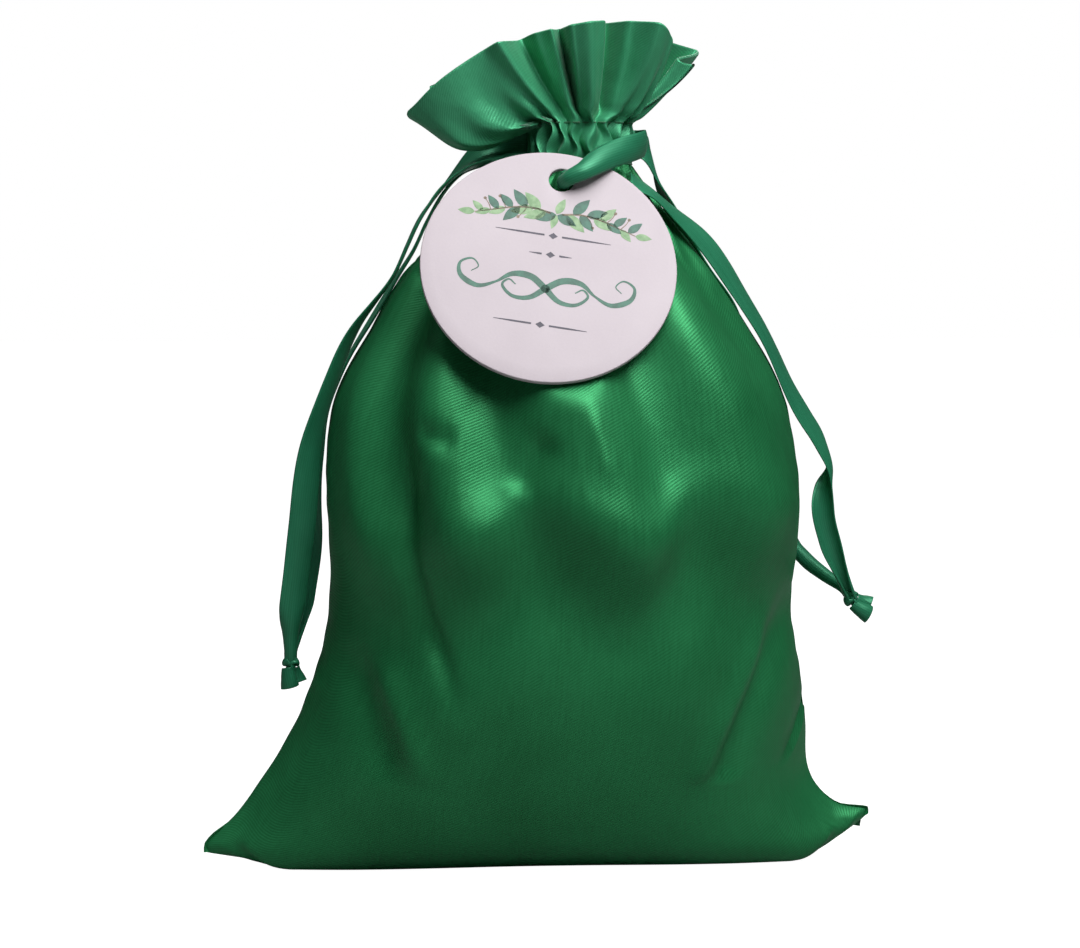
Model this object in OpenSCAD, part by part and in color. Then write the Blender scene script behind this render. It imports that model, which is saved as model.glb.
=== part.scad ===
// Drawstring gift sack of satin with a round hang tag, standing filled on its base.
// Millimetres. The front faces -Y, +Z is up, and the origin is on the underside
// at the middle of the footprint.

/* [Sack] */
// Half of the width across the two corner ears at the base
ear_half_w = 75; // [70:0.5:80]
// Half of the width of the filled belly
belly_half_w = 52.5; // [48:0.5:54]
// Depth of the belly in front of the side seams
belly_front = 44; // [40:0.5:45]
// Depth of the belly behind the side seams
belly_back = 38; // [34:0.5:42]
// Depth of the footprint in front of the bottom seam
foot_front = 14; // [12:0.5:16]
// Depth of the footprint behind the bottom seam
foot_back = 12; // [10:0.5:14]
// Thickness of the satin with its hem and fill backing it
cloth_t = 0.8; // [0.6:0.1:1]
// Width of the seam allowance inside the side and bottom seams
seam_w = 5; // [4:0.5:6]

/* [Neck and header] */
// Height at which the ribbon casing starts
casing_z = 156; // [154:0.5:158]
// Height of the casing between its two rows of stitches
casing_h = 9; // [8.5:0.5:10]
// Outer radius of the gathered neck
neck_r = 11.7; // [11.6:0.1:12]
// Radius of the way left open through the gathered neck
mouth_r = 7.6; // [6.5:0.1:7.8]
// Height of the header ruffle above the casing
header_h = 23; // [18:0.5:26]
// Half of the width of the ruffle across its rim
header_half_w = 32; // [26:0.5:34]
// Half of the depth of the ruffle across its rim
header_half_d = 14; // [12:0.5:16]

/* [Ribbon] */
// Width of the satin ribbon
ribbon_w = 6; // [5:0.5:6]
// Thickness of the ribbon
ribbon_t = 0.5; // [0.4:0.1:0.6]
// Radius of a tied knot
knot_r = 2; // [1.8:0.1:2.2]

/* [Tag] */
// Diameter of the round tag
tag_d = 55; // [50:0.5:56]
// Thickness of the tag board
tag_t = 1.2; // [0.8:0.1:1.4]
// Diameter of the ribbon hole
tag_hole_d = 5.5; // [5.2:0.1:6]
// Distance from the tag's centre to the hole's centre
tag_hole_off = 21; // [20:0.5:22]
// How far the tag leans back on the belly, in degrees
tag_lean = 28; // [27:0.5:30]
// How far the tag hangs turned on its ribbon, in degrees
tag_roll = 10; // [0:0.5:12]

/* [Hidden] */

satin = [0.05, 0.36, 0.19];
satin_dark = [0.03, 0.26, 0.14];
ribbon_green = [0.07, 0.40, 0.24];
thread_green = [0.04, 0.30, 0.16];
board_white = [0.90, 0.86, 0.89];

seam_y = 3;            // the plane of the side and bottom seams
seam_t = 1;            // thickness of a seam: two folded-in edges
neck_x = 9;            // the neck sits a little right of the base's middle
casing_top = casing_z + casing_h;
round_fn = 96;

// Stations up the sack: height, middle x, half width, front depth, back depth, roundness.
// Roundness 0 is a lens with sharp side edges, and 1 is an ellipse.
stations = [
    [0, 0, ear_half_w - 6, foot_front, foot_back, 0],
    [3, 0, ear_half_w, foot_front + 3, foot_back + 2.5, 0],
    [9, -0.5, ear_half_w - 6, foot_front + 8, foot_back + 6.5, 0.05],
    [17, -0.5, ear_half_w - 11.5, foot_front + 13.5, foot_back + 11.5, 0.15],
    [34, 3.5, ear_half_w - 17.5, foot_front + 22, foot_back + 19, 0.4],
    [58, 5.5, belly_half_w, belly_front - 2.5, belly_back - 2.5, 0.8],
    [76, 6, belly_half_w + 0.5, belly_front, belly_back, 1],
    [92, 5.5, belly_half_w, belly_front - 1, belly_back - 0.5, 1],
    [106, 5.5, belly_half_w - 3, belly_front - 4, belly_back - 3, 1],
    [118, 5.5, belly_half_w - 10, belly_front - 8.5, belly_back - 7, 1],
    [130, 5, belly_half_w - 18, belly_front - 15, belly_back - 12, 1],
    [142, 6, belly_half_w - 28.5, belly_front - 22.5, belly_back - 18, 1],
    [150, 8, neck_r + 5, neck_r + 5, neck_r + 4.5, 1],
    [casing_z, neck_x, neck_r - 0.2, neck_r - 0.2, neck_r - 0.2, 1]
];
station_steps = 2;     // levels between one station and the next
panel_columns = 20;    // columns from one side seam to the other
header_levels = 8;
header_columns = 40;   // columns from one side of the ruffle to the other

// Ribbon routes: the points a ribbon follows from the casing to its knot, each with the
// way its width points. The lead lies still as far as the shoulder, and the tail hangs on.
left_shoulder = 4;     // the point of a left route where the tail begins
right_front_shoulder = 2;
right_back_shoulder = 4;
tail_gap = 0.16;       // the break between a lead and its tail, as a share of a step

left_front_route = [
    [[-2.4, 2.15, 160.5], [0, 0, 1]], [[-7.2, 1.9, 160.3], [0, 0.1, 1]],
    [[-12.4, 1.2, 158.6], [0, 0.8, 1]], [[-17.4, 0.4, 155.2], [0, 1, 0.4]],
    [[-22, -0.4, 150.4], [0, 1, 0]], [[-25.8, -1, 144.6], [0, 1, 0]],
    [[-29, -1.2, 138.2], [0.1, 1, 0]], [[-32.4, -1.2, 131.8], [0.2, 1, 0.1]],
    [[-36.6, -1.2, 125.6], [0.3, 1, 0.2]], [[-40.8, -1.2, 119.2], [0.4, 1, 0.2]],
    [[-44.6, -1.4, 112], [0.6, 1, 0.2]], [[-47.8, -1.6, 104], [0.9, 0.9, 0.2]],
    [[-50.2, -1.8, 95], [1, 0.6, 0.2]], [[-51.8, -1.8, 85.6], [1, 0.4, 0.1]],
    [[-52.8, -1.6, 76], [1, 0.3, 0.1]], [[-53.8, -1.2, 66.6], [1, 0.3, 0.1]],
    [[-55, -0.6, 57.8], [1, 0.2, 0]], [[-55.4, 0.6, 51.6], [1, 0, 0]],
    [[-55.4, 1, 48], [1, 0, 0]]];
left_back_route = [
    [[-2.4, 3.85, 160.5], [0, 0, 1]], [[-7, 4.2, 160], [0, -0.1, 1]],
    [[-11.8, 4.6, 157.6], [0, 0.8, 1]], [[-16.8, 5, 154], [0, 1, 0.3]],
    [[-21.2, 5.4, 149.4], [0, 1, 0]], [[-24.8, 5.8, 143.2], [0, 1, 0]],
    [[-27.6, 6, 136.4], [0, 1, 0]], [[-31.6, 6, 130], [0, 1, 0]],
    [[-36, 6, 123.4], [0, 1, 0]], [[-40.2, 6, 116.2], [0, 1, 0]],
    [[-44, 6, 108.4], [-0.1, 1, 0]], [[-47.8, 6.2, 100], [-0.4, 1, 0]],
    [[-49.4, 6.4, 91], [-0.7, 1, 0]], [[-49.9, 6.4, 81.6], [-0.7, 1, 0]],
    [[-50.3, 6.2, 72.4], [-0.8, 1, 0]], [[-51.3, 5.6, 63.6], [-0.9, 1, 0]],
    [[-52.8, 4.3, 56], [-1, 0.7, 0]], [[-54.6, 2.8, 50.6], [-1, 0.3, 0]],
    [[-55.4, 2.2, 48], [-1, 0, 0]]];
right_front_route = [
    [[19, -10, 152.6], [0, 0.8, 0.6]], [[24.8, -8.4, 149.4], [0.2, 1, 0.3]],
    [[30.4, -6.4, 144.4], [0.4, 0.9, 0.3]], [[35.6, -5.2, 139.2], [0.5, 0.8, 0.4]],
    [[40.2, -4.6, 133.6], [0.5, 0.8, 0.4]], [[44.4, -4, 127.6], [0.5, 0.8, 0.3]],
    [[48.2, -3.4, 121.2], [0.5, 0.8, 0.3]], [[51.8, -2.8, 114.4], [0.5, 0.9, 0.3]],
    [[55.4, -2.4, 107.4], [0.5, 1, 0.3]], [[59.2, -2, 100.4], [0.6, 1, 0.3]],
    [[63, -1.6, 93.8], [0.6, 1, 0.2]], [[65, -1.2, 88.4], [0.2, 1, 0]],
    [[64.2, -1, 83.4], [-0.6, 0.8, 0]], [[63.6, -1, 78], [-1, 0.2, 0]],
    [[65, -0.8, 72], [-1, 0, -0.2]], [[67.2, -0.4, 66.2], [-1, 0, -0.2]],
    [[69.2, 0.2, 61.4], [-1, 0, -0.2]]];
right_back_route = [
    [[20.6, 3.85, 160.5], [0, 0, 1]], [[23, 4.2, 160.2], [0, 0.2, 1]],
    [[25.4, 5.2, 157], [0, 1, 0.8]],
    [[27.6, 6.4, 151.4], [-0.1, 1, 0]], [[30.6, 7.4, 145], [-0.3, 1, -0.2]],
    [[34.2, 8.4, 138.6], [-0.4, 1, -0.2]], [[38.4, 9.6, 132.2], [-0.4, 1, -0.2]],
    [[42.6, 11, 125.8], [-0.3, 1, -0.2]], [[46.6, 12.8, 118.8], [-0.1, 1, 0]],
    [[50.8, 14, 111.2], [-0.2, 1, 0]], [[54.3, 15, 103], [-0.3, 1, 0]],
    [[56.1, 15.5, 94.6], [-0.4, 1, 0]], [[57, 15.5, 86.2], [-0.4, 1, 0]],
    [[57.8, 14.5, 78.2], [-0.3, 1, 0]], [[58.6, 12.2, 71.8], [-0.2, 0.8, 0.5]],
    [[61.4, 9, 67], [0, 0.4, 1]], [[65.2, 5.8, 63.6], [0.4, 0.1, 1]],
    [[68.8, 2.8, 61.2], [0.8, 0, 0.6]]];
// The bight leaves the right casing exit, goes in through the tag's hole and comes back behind.
bight_route = [
    [[21.8, 1.4, 160.5], [0, 0, 1], 5.6], [[23, -1.8, 160.5], [0, 0, 1], 5.8],
    [[22.8, -6, 160.3], [0, 0, 1], 5.8], [[20.4, -10.4, 159.6], [0, 0.1, 1], 5.8],
    [[16.6, -14.3, 158.6], [0, 0.3, 1], 5.6], [[12, -17.8, 157], [0, 0.4, 0.9], 5.2],
    [[7.8, -19.6, 155], [0, 0.5, 0.9], 4.4], [[4.4, -18.9, 153.3], [0, 0.5, 0.9], 3.4],
    [[3.25, -16.29, 152.06], [0, 0.5, 0.9], 3], [[4.2, -15, 152.5], [0, 0.5, 0.9], 3.2],
    [[7, -14.2, 153.3], [0, 0.5, 0.9], 3.8], [[11, -13.3, 154], [0, 0.6, 0.8], 4.4],
    [[15.5, -11.9, 154.5], [0, 0.7, 0.7], 4.8]];

left_knot_at = [-55.4, 1.6, 45.4];
right_knot_at = [70.6, 1.2, 58.6];
tag_middle = [-0.4, -26, 133.8];

// ---- Curves and sheets ----

// Catmull-Rom between b and c, at t from 0 to 1.
function smooth(a, b, c, d, t) =
    0.5 * (2 * b + (c - a) * t + (2 * a - 5 * b + 4 * c - d) * t * t
           + (3 * b - a - 3 * c + d) * t * t * t);

function between(list, t) =
    let (n = len(list), i = min(floor(t), n - 2), f = t - i,
         a = i > 0 ? list[i - 1] : 2 * list[0] - list[1],
         d = i + 2 < n ? list[i + 2] : 2 * list[n - 1] - list[n - 2])
    smooth(a, list[i], list[i + 1], d, f);

function unit(v) = v / norm(v);

// Share of the depth at angle a across a level, from -90 at one side edge to 90 at the other.
function bulge(a, roundness) =
    let (p = 3.2 - 1.2 * roundness, q = 1 - 0.5 * roundness)
    pow(max(0, 1 - pow(abs(sin(a)), p)), q);

function column_angle(i, n) = -90 + 180 * i / n;

// A point of a level: side is -1 in front of the seams and 1 behind, inset is the wall.
function level_point(level, a, side, inset) =
    [level[1] + (level[2] - inset) * sin(a),
     seam_y + side * (seam_t / 2
         + (level[side < 0 ? 3 : 4] - inset) * bulge(a, level[5])),
     max(level[0], inset > 0 ? cloth_t : 0)];

// The rows of one panel: from the bottom seam along the underside, then up to the neck.
function panel_rows(side, inset) =
    let (foot = stations[0], n = (len(stations) - 1) * station_steps)
    concat(
        [[for (i = [0 : panel_columns])
            let (a = column_angle(i, panel_columns))
            [foot[1] + (foot[2] - inset) * sin(a), seam_y + side * seam_t / 2,
             inset > 0 ? cloth_t : 0]]],
        [for (k = [0 : n])
            let (level = between(stations, k / station_steps))
            [for (i = [0 : panel_columns])
                level_point(level, column_angle(i, panel_columns), side, inset)]]);

// A closed sheet between two grids of points of the same size.
module sheet(outside, inside, flip) {
    rows = len(outside);
    cols = len(outside[0]);
    points = concat([for (r = outside) each r], [for (r = inside) each r]);
    half = rows * cols;
    function at(r, c, in) = r * cols + c + (in ? half : 0);
    function quad(a, b, c, d) = [[a, b, c], [a, c, d]];
    faces = concat(
        [for (r = [0 : rows - 2], c = [0 : cols - 2])
            each quad(at(r, c, false), at(r + 1, c, false), at(r + 1, c + 1, false),
                      at(r, c + 1, false))],
        [for (r = [0 : rows - 2], c = [0 : cols - 2])
            each quad(at(r, c + 1, true), at(r + 1, c + 1, true), at(r + 1, c, true),
                      at(r, c, true))],
        [for (c = [0 : cols - 2])
            each quad(at(0, c, true), at(0, c, false), at(0, c + 1, false),
                      at(0, c + 1, true))],
        [for (c = [0 : cols - 2])
            each quad(at(rows - 1, c + 1, true), at(rows - 1, c + 1, false),
                      at(rows - 1, c, false), at(rows - 1, c, true))],
        [for (r = [0 : rows - 2])
            each quad(at(r + 1, 0, true), at(r + 1, 0, false), at(r, 0, false),
                      at(r, 0, true))],
        [for (r = [0 : rows - 2])
            each quad(at(r, cols - 1, true), at(r, cols - 1, false),
                      at(r + 1, cols - 1, false), at(r + 1, cols - 1, true))]);
    polyhedron(points, flip ? [for (f = faces) [f[2], f[1], f[0]]] : faces);
}

// ---- Sack ----

module panel(side) {
    color(satin)
        sheet(panel_rows(side, 0), panel_rows(side, cloth_t), side > 0);
}

// The folded-in edges at one side, a fin between the two panels.
module side_seam(side) {
    n = (len(stations) - 1) * station_steps;
    levels = [for (k = [0 : n]) between(stations, k / station_steps)];
    edge = [for (v = levels) [v[1] + side * v[2], v[0]]];
    fold = [for (v = levels) [v[1] + side * (v[2] - seam_w), v[0]]];
    color(satin_dark)
        translate([0, seam_y + seam_t / 2, 0])
            rotate([90, 0, 0])
                linear_extrude(seam_t)
                    polygon(concat(edge, [for (i = [n : -1 : 0]) fold[i]]));
}

module bottom_seam() {
    reach = stations[0][2] - seam_w;
    color(satin_dark)
        translate([-reach, seam_y - seam_t / 2, 0])
            cube([2 * reach, seam_t, seam_w]);
}

// A point of the ruffle: a turns round the neck, t runs from the casing to the rim.
function header_point(a, t, inset) =
    let (rim_h = header_h - 14.75 * pow(abs(cos(a)), 3) + 4.25 * cos(a),
         swell = pow(t, 0.75),
         wave = 1 + 0.1 * t * cos(9 * a),
         rx = (neck_r - 0.2 + (header_half_w - neck_r) * swell) * wave - inset,
         ry = (neck_r - 0.2 + (header_half_d - neck_r) * swell) * wave - inset,
         side_y = sin(a) < 0 ? -seam_t / 2 : seam_t / 2)
    [neck_x - 3 * t + rx * cos(a), seam_y + side_y + ry * sin(a),
     casing_top + rim_h * t + inset * min(1, 4 * t)];

function header_rows(side, inset) =
    [for (k = [0 : header_levels])
        [for (i = [0 : header_columns])
            let (a = side * (179.99 - 179.98 * i / header_columns))
            header_point(a, k / header_levels, inset)]];

module header(side) {
    color(satin)
        sheet(header_rows(side, 0), header_rows(side, cloth_t), side > 0);
}

// ---- Casing and its stitches ----

module ring(outer, inner, h) {
    difference() {
        cylinder(r = outer, h = h, $fn = round_fn);
        translate([0, 0, -1]) cylinder(r = inner, h = h + 2, $fn = round_fn);
    }
}

// Half of the gathered neck: two walls with the channel for the ribbons between them.
// The halves stand apart at the sides, where the ribbons come out.
module casing(side) {
    exit_gap = 1.4;
    gathers = 24;
    gather_depth = 0.3;
    fluted = [for (i = [0 : 4 * gathers - 1])
        let (a = 90 * i / gathers)
        (neck_r - gather_depth / 2 * (1 - cos(gathers * a))) * [cos(a), sin(a)]];
    color(satin_dark)
        translate([neck_x, seam_y, casing_z])
            intersection() {
                difference() {
                    linear_extrude(casing_h) polygon(fluted);
                    translate([0, 0, -1]) cylinder(r = mouth_r, h = casing_h + 2, $fn = round_fn);
                    translate([0, 0, cloth_t])
                        ring(neck_r - cloth_t, mouth_r + cloth_t, casing_h - 2 * cloth_t);
                }
                translate([-20, side > 0 ? exit_gap : -20 - exit_gap, -1])
                    cube([40, 20, casing_h + 2]);
            }
}

module stitching(z) {
    thread_r = 0.22;
    color(thread_green)
        translate([neck_x, seam_y, z])
            rotate_extrude($fn = round_fn)
                translate([neck_r + thread_r + 0.03, 0])
                    circle(r = thread_r, $fn = 16);
}

// A ribbon inside the casing: once round the neck, with both ends at one side exit.
// It is crumpled narrower there, so that the two lie one above the other.
module ribbon_loop(z, side) {
    r = (neck_r + mouth_r) / 2;
    ribbon_h = 3.4;
    mouth = 1.2;
    end_gap = 0.5;
    exit_end = neck_r - 0.7;
    color(ribbon_green)
        translate([neck_x, seam_y, z])
            union() {
                difference() {
                    ring(r + ribbon_t / 2, r - ribbon_t / 2, ribbon_h);
                    translate([side > 0 ? 0 : -2 * r, -mouth + 0.4, -1])
                        cube([2 * r, 2 * mouth - 0.8, ribbon_h + 2]);
                }
                for (y = [-mouth, end_gap])
                    translate([side > 0 ? r - 1 : -exit_end, y, 0])
                        cube([exit_end - r + 1, mouth - end_gap, ribbon_h]);
            }
}

// ---- Ribbon stretches ----

// One ring of eight points across a flat ribbon of the given width.
function ribbon_ring(p, along, across, w) =
    let (n = unit(cross(along, across)), s = unit(cross(n, along)),
         hw = w / 2, ht = ribbon_t / 2)
    [for (q = [[-hw, -ht * 0.4], [-hw * 0.6, -ht], [hw * 0.6, -ht], [hw, -ht * 0.4],
               [hw, ht * 0.4], [hw * 0.6, ht], [-hw * 0.6, ht], [-hw, ht * 0.4]])
        p + s * q[0] + n * q[1]];

// A flat ribbon swept along a route from the place t0 to the place t1, counted in its points.
// The route's own width, where it has one, is used.
module ribbon(route, w, t0, t1) {
    last = round((t1 - t0) * 2);
    span = [for (k = [0 : last]) t0 + (t1 - t0) * k / last];
    places = [for (r = route) r[0]];
    spread = [for (r = route) r[1]];
    widths = [for (r = route) len(r) > 2 ? r[2] : w];
    line = [for (t = span) between(places, t)];
    rings = [for (k = [0 : last])
        ribbon_ring(line[k], line[min(k + 1, last)] - line[max(k - 1, 0)],
                    between(spread, span[k]), between(widths, span[k]))];
    sides = len(rings[0]);
    points = [for (r = rings) each r];
    faces = concat(
        [for (k = [0 : last - 1], j = [0 : sides - 1])
            let (a = k * sides + j, b = k * sides + (j + 1) % sides)
            each [[a, a + sides, b + sides], [a, b + sides, b]]],
        [[for (j = [0 : sides - 1]) j]],
        [[for (j = [sides - 1 : -1 : 0]) last * sides + j]]);
    color(ribbon_green) polyhedron(points, faces);
}

module lead(route, shoulder) ribbon(route, ribbon_w, 0, shoulder);

module tail(route, shoulder) ribbon(route, ribbon_w, shoulder + tail_gap, len(route) - 1);

// A tied knot with the two cut ends of the ribbon coming out of it.
module knot(place, turn) {
    tall = 1.2;
    cut = 4;
    color(ribbon_green)
        translate(place)
            rotate([0, turn, 0])
                union() {
                    rotate_extrude($fn = 48)
                        polygon([for (a = [-90 : 10 : 90])
                            [knot_r * cos(a), knot_r * tall * sin(a)]]);
                    translate([-1.9, -0.7, -knot_r - cut + 0.6]) cube([3.6, ribbon_t, cut]);
                    translate([-1.6, 0.2, -knot_r - cut + 1.2]) cube([3.4, ribbon_t, cut]);
                }
}

// ---- Tag ----

// A disc with softened edges and one hole. It lies along Z with its front up, then is hung.
module gift_tag() {
    r = tag_d / 2;
    soft = 0.25;
    color(board_white)
        translate(tag_middle)
            rotate([90 - tag_lean, 0, 0])
                rotate([0, 0, -tag_roll])
                    difference() {
                        rotate_extrude($fn = round_fn)
                            polygon([[0, -tag_t / 2], [r - soft, -tag_t / 2],
                                     [r, -tag_t / 2 + soft], [r, tag_t / 2 - soft],
                                     [r - soft, tag_t / 2], [0, tag_t / 2]]);
                        translate([0, tag_hole_off, -tag_t])
                            cylinder(d = tag_hole_d, h = 2 * tag_t, $fn = round_fn);
                    }
}

left_loop_z = casing_z + 1;
right_loop_z = casing_z + 4.6;
stitch_inset = 0.8;

panel(-1);  // front_panel
panel(1);  // back_panel
side_seam(-1);  // left_side_seam
side_seam(1);  // right_side_seam
bottom_seam();
header(-1);  // front_header
header(1);  // back_header
casing(-1);  // front_casing
casing(1);  // back_casing
stitching(casing_top - stitch_inset);  // upper_stitching
stitching(casing_z + stitch_inset);  // lower_stitching
ribbon_loop(left_loop_z, -1);  // left_ribbon_loop
ribbon_loop(right_loop_z, 1);  // right_ribbon_loop
lead(left_front_route, left_shoulder);  // left_front_lead
lead(left_back_route, left_shoulder);  // left_back_lead
tail(left_front_route, left_shoulder);  // left_front_tail
tail(left_back_route, left_shoulder);  // left_back_tail
knot(left_knot_at, 0);  // left_knot
lead(right_front_route, right_front_shoulder);  // right_front_lead
lead(right_back_route, right_back_shoulder);  // right_back_lead
tail(right_front_route, right_front_shoulder);  // right_front_tail
tail(right_back_route, right_back_shoulder);  // right_back_tail
knot(right_knot_at, -50);  // right_knot
ribbon(bight_route, ribbon_w, 0, len(bight_route) - 1);  // tag_bight
gift_tag();
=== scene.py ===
"""Visual model of a satin drawstring gift sack with a round hang tag.

Everything is in the CAD frame: the front faces -Y, +Z is up, and the origin is on the
underside at the middle of the footprint. Shapes are worked out in millimetres and made
in metres.
"""

import math

import bpy
import numpy as np
from mathutils import Matrix, Vector


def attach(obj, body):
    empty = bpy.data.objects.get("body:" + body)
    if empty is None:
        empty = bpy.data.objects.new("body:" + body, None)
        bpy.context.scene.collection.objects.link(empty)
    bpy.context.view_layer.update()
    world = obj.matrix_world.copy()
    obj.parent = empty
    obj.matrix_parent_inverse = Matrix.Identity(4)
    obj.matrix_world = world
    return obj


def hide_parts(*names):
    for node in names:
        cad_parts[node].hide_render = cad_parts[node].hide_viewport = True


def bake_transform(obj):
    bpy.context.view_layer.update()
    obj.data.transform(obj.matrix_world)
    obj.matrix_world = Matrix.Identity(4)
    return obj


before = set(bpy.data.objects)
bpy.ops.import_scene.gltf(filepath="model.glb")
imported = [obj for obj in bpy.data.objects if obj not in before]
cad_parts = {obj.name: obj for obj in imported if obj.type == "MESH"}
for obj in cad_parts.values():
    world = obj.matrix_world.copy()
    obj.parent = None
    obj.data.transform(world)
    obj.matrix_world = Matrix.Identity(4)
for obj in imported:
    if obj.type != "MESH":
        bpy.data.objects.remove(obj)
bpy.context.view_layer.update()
bpy.context.scene.view_settings.view_transform = "Standard"

MM = 0.001
SEAM_Y = 3.0  # the plane of the side and bottom seams
NECK_X = 9.0  # the axis of the gathered neck
CASING_Z, CASING_TOP = 156.0, 165.0
NECK_R = 11.7
MOUTH_RX, MOUTH_RY = 31, 12.5  # the ruffle's rim, before its folds
# The tag hangs on the front, leaning back on the belly and turned a little on its ribbon.
TAG_MIDDLE = np.array([-0.4, -26.0, 133.8])
TAG_LEAN, TAG_ROLL = 28.0, 10.0
TAG_R, TAG_T, TAG_HOLE_R, TAG_HOLE_UP = 27.5, 1.2, 2.75, 21.0


# ---- Curves and small tools ----


def between(rows, t):
    """Catmull-Rom through rows, at places t counted in rows."""
    rows = np.asarray(rows, float)
    n = len(rows)
    padded = np.concatenate([[2 * rows[0] - rows[1]], rows, [2 * rows[-1] - rows[-2]]])
    i = np.minimum(np.floor(t).astype(int), n - 2)
    f = (t - i).reshape((-1,) + (1,) * (rows.ndim - 1))
    a, b, c, d = (padded[i + k] for k in range(4))
    return 0.5 * (2 * b + (c - a) * f + (2 * a - 5 * b + 4 * c - d) * f**2
                  + (3 * b - a - 3 * c + d) * f**3)


def unit(v):
    return v / np.maximum(np.linalg.norm(v, axis=-1, keepdims=True), 1e-9)


def step(x, low, high):
    """Smooth step from 0 at low to 1 at high."""
    t = np.clip((x - low) / (high - low), 0, 1)
    return t * t * (3 - 2 * t)


def through(keys, x):
    """Keyed values joined by half cosines."""
    places, values = np.array(keys, float).T
    i = np.clip(np.searchsorted(places, x, side="right") - 1, 0, len(places) - 2)
    t = np.clip((x - places[i]) / (places[i + 1] - places[i]), 0, 1)
    t = (1 - np.cos(np.pi * t)) / 2
    return values[i] * (1 - t) + values[i + 1] * t


def full_turn(count):
    """Equal steps once round, in radians."""
    return np.linspace(0, 2 * np.pi, count + 1)[:-1]


def arc_length(line):
    return np.concatenate([[0], np.cumsum(np.linalg.norm(np.diff(line, axis=0), axis=1))])


def uv_grid(across, along):
    """Cloth UVs of a grid of points, from its places across and along the cloth."""
    return np.stack(np.broadcast_arrays(np.asarray(across)[None], np.asarray(along)[:, None]),
                    axis=-1)


def link(name, mesh):
    obj = bpy.data.objects.new(name, mesh)
    bpy.context.scene.collection.objects.link(obj)
    return obj


def make_mesh(name, points, faces, uv=None, normals=None):
    """A smooth mesh object from points in millimetres, with its cloth UVs in millimetres."""
    mesh = bpy.data.meshes.new(name)
    mesh.from_pydata((np.asarray(points) * MM).tolist(), [], faces)
    mesh.polygons.foreach_set("use_smooth", [True] * len(mesh.polygons))
    if uv is not None:
        loops = np.zeros(len(mesh.loops), np.int32)
        mesh.loops.foreach_get("vertex_index", loops)
        layer = mesh.uv_layers.new(name="cloth")
        layer.data.foreach_set("uv", np.asarray(uv, np.float32)[loops].ravel())
    if normals is not None:
        mesh.normals_split_custom_set_from_vertices(unit(np.asarray(normals)).tolist())
    mesh.update()
    return link(name, mesh)


def tube_faces(count, sides, offset=0, endless=False):
    """The faces round a tube of rings, with its two caps or joined end to end."""
    faces = [[offset + k * sides + j, offset + k * sides + (j + 1) % sides,
              offset + (k + 1) % count * sides + (j + 1) % sides,
              offset + (k + 1) % count * sides + j]
             for k in range(count if endless else count - 1) for j in range(sides)]
    if not endless:
        faces.append([offset + j for j in range(sides)][::-1])
        faces.append([offset + (count - 1) * sides + j for j in range(sides)])
    return faces


def turned_over(faces):
    return [face[::-1] for face in faces]


def loft(name, rings, uv=None):
    """A closed tube through rings of equal size."""
    flat_uv = None if uv is None else uv.reshape(-1, 2)
    return make_mesh(name, rings.reshape(-1, 3), tube_faces(*rings.shape[:2]), flat_uv)


def square(name, half, z):
    """A level square of the scene, in metres."""
    mesh = bpy.data.meshes.new(name)
    corners = [(-half, -half, z), (half, -half, z), (half, half, z), (-half, half, z)]
    mesh.from_pydata(corners, [], [[0, 1, 2, 3]])
    return link(name, mesh)


# ---- Camera ----

CAMERA_AIM = Vector((0.0003, 0.003, 0.0872))
CAMERA_TURN, CAMERA_RISE, CAMERA_DISTANCE = -5.0, 4.5, 0.75  # degrees, degrees, metres
VIEW_WIDTH = 0.2409  # of the picture, at the sack
SENSOR = 36  # millimetres

camera_data = bpy.data.cameras.new("camera")
camera = link("camera", camera_data)
turn, rise = math.radians(CAMERA_TURN), math.radians(CAMERA_RISE)
towards = Vector((math.sin(turn) * math.cos(rise), -math.cos(turn) * math.cos(rise),
                  math.sin(rise)))
camera.location = CAMERA_AIM + towards * CAMERA_DISTANCE
camera.rotation_euler = (-towards).to_track_quat("-Z", "Y").to_euler()
camera_data.sensor_width = SENSOR
camera_data.lens = SENSOR * CAMERA_DISTANCE / VIEW_WIDTH
bpy.context.scene.camera = camera


# ---- Materials ----


class Tree:
    """The node tree of a material or world, with short calls for its nodes and links."""

    def __init__(self, owner):
        owner.use_nodes = True
        self.owner = owner
        self.tree = owner.node_tree

    def node(self, kind, inputs=(), **settings):
        node = self.tree.nodes.new("ShaderNode" + kind)
        for key, value in settings.items():
            setattr(node, key, value)
        for key, value in dict(inputs).items():
            if isinstance(value, bpy.types.NodeSocket):
                self.tree.links.new(value, node.inputs[key])
            else:
                node.inputs[key].default_value = value
        return node

    def math(self, operation, a, b=0.0):
        return self.node("Math", {0: a, 1: b}, operation=operation).outputs[0]

    def weigh(self, a, share_a, b, share_b):
        """The sum of two values, each times its share."""
        return self.math("ADD", self.math("MULTIPLY", a, share_a),
                         self.math("MULTIPLY", b, share_b))

    def noise(self, where, scale, detail):
        node = self.node("TexNoise", {"Vector": where, "Scale": scale, "Detail": detail})
        return node.outputs["Fac"]

    def ramp(self, fac, stops):
        node = self.node("ValToRGB", {"Fac": fac})
        elements = node.color_ramp.elements
        while len(elements) < len(stops):
            elements.new(0.5)
        for element, (place, colour) in zip(elements, stops):
            element.position = place
            element.color = (*colour, 1)
        return node.outputs["Color"]

    def remap(self, value, low, high):
        return self.node("MapRange", {"Value": value, "To Min": low, "To Max": high}).outputs[0]

    def finish(self, **sockets):
        for key, value in sockets.items():
            socket = self.tree.nodes["Principled BSDF"].inputs[key.replace("_", " ")]
            if isinstance(value, bpy.types.NodeSocket):
                self.tree.links.new(value, socket)
            else:
                socket.default_value = value
        return self.owner


def new_tree(name):
    return Tree(bpy.data.materials.new(name))


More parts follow.
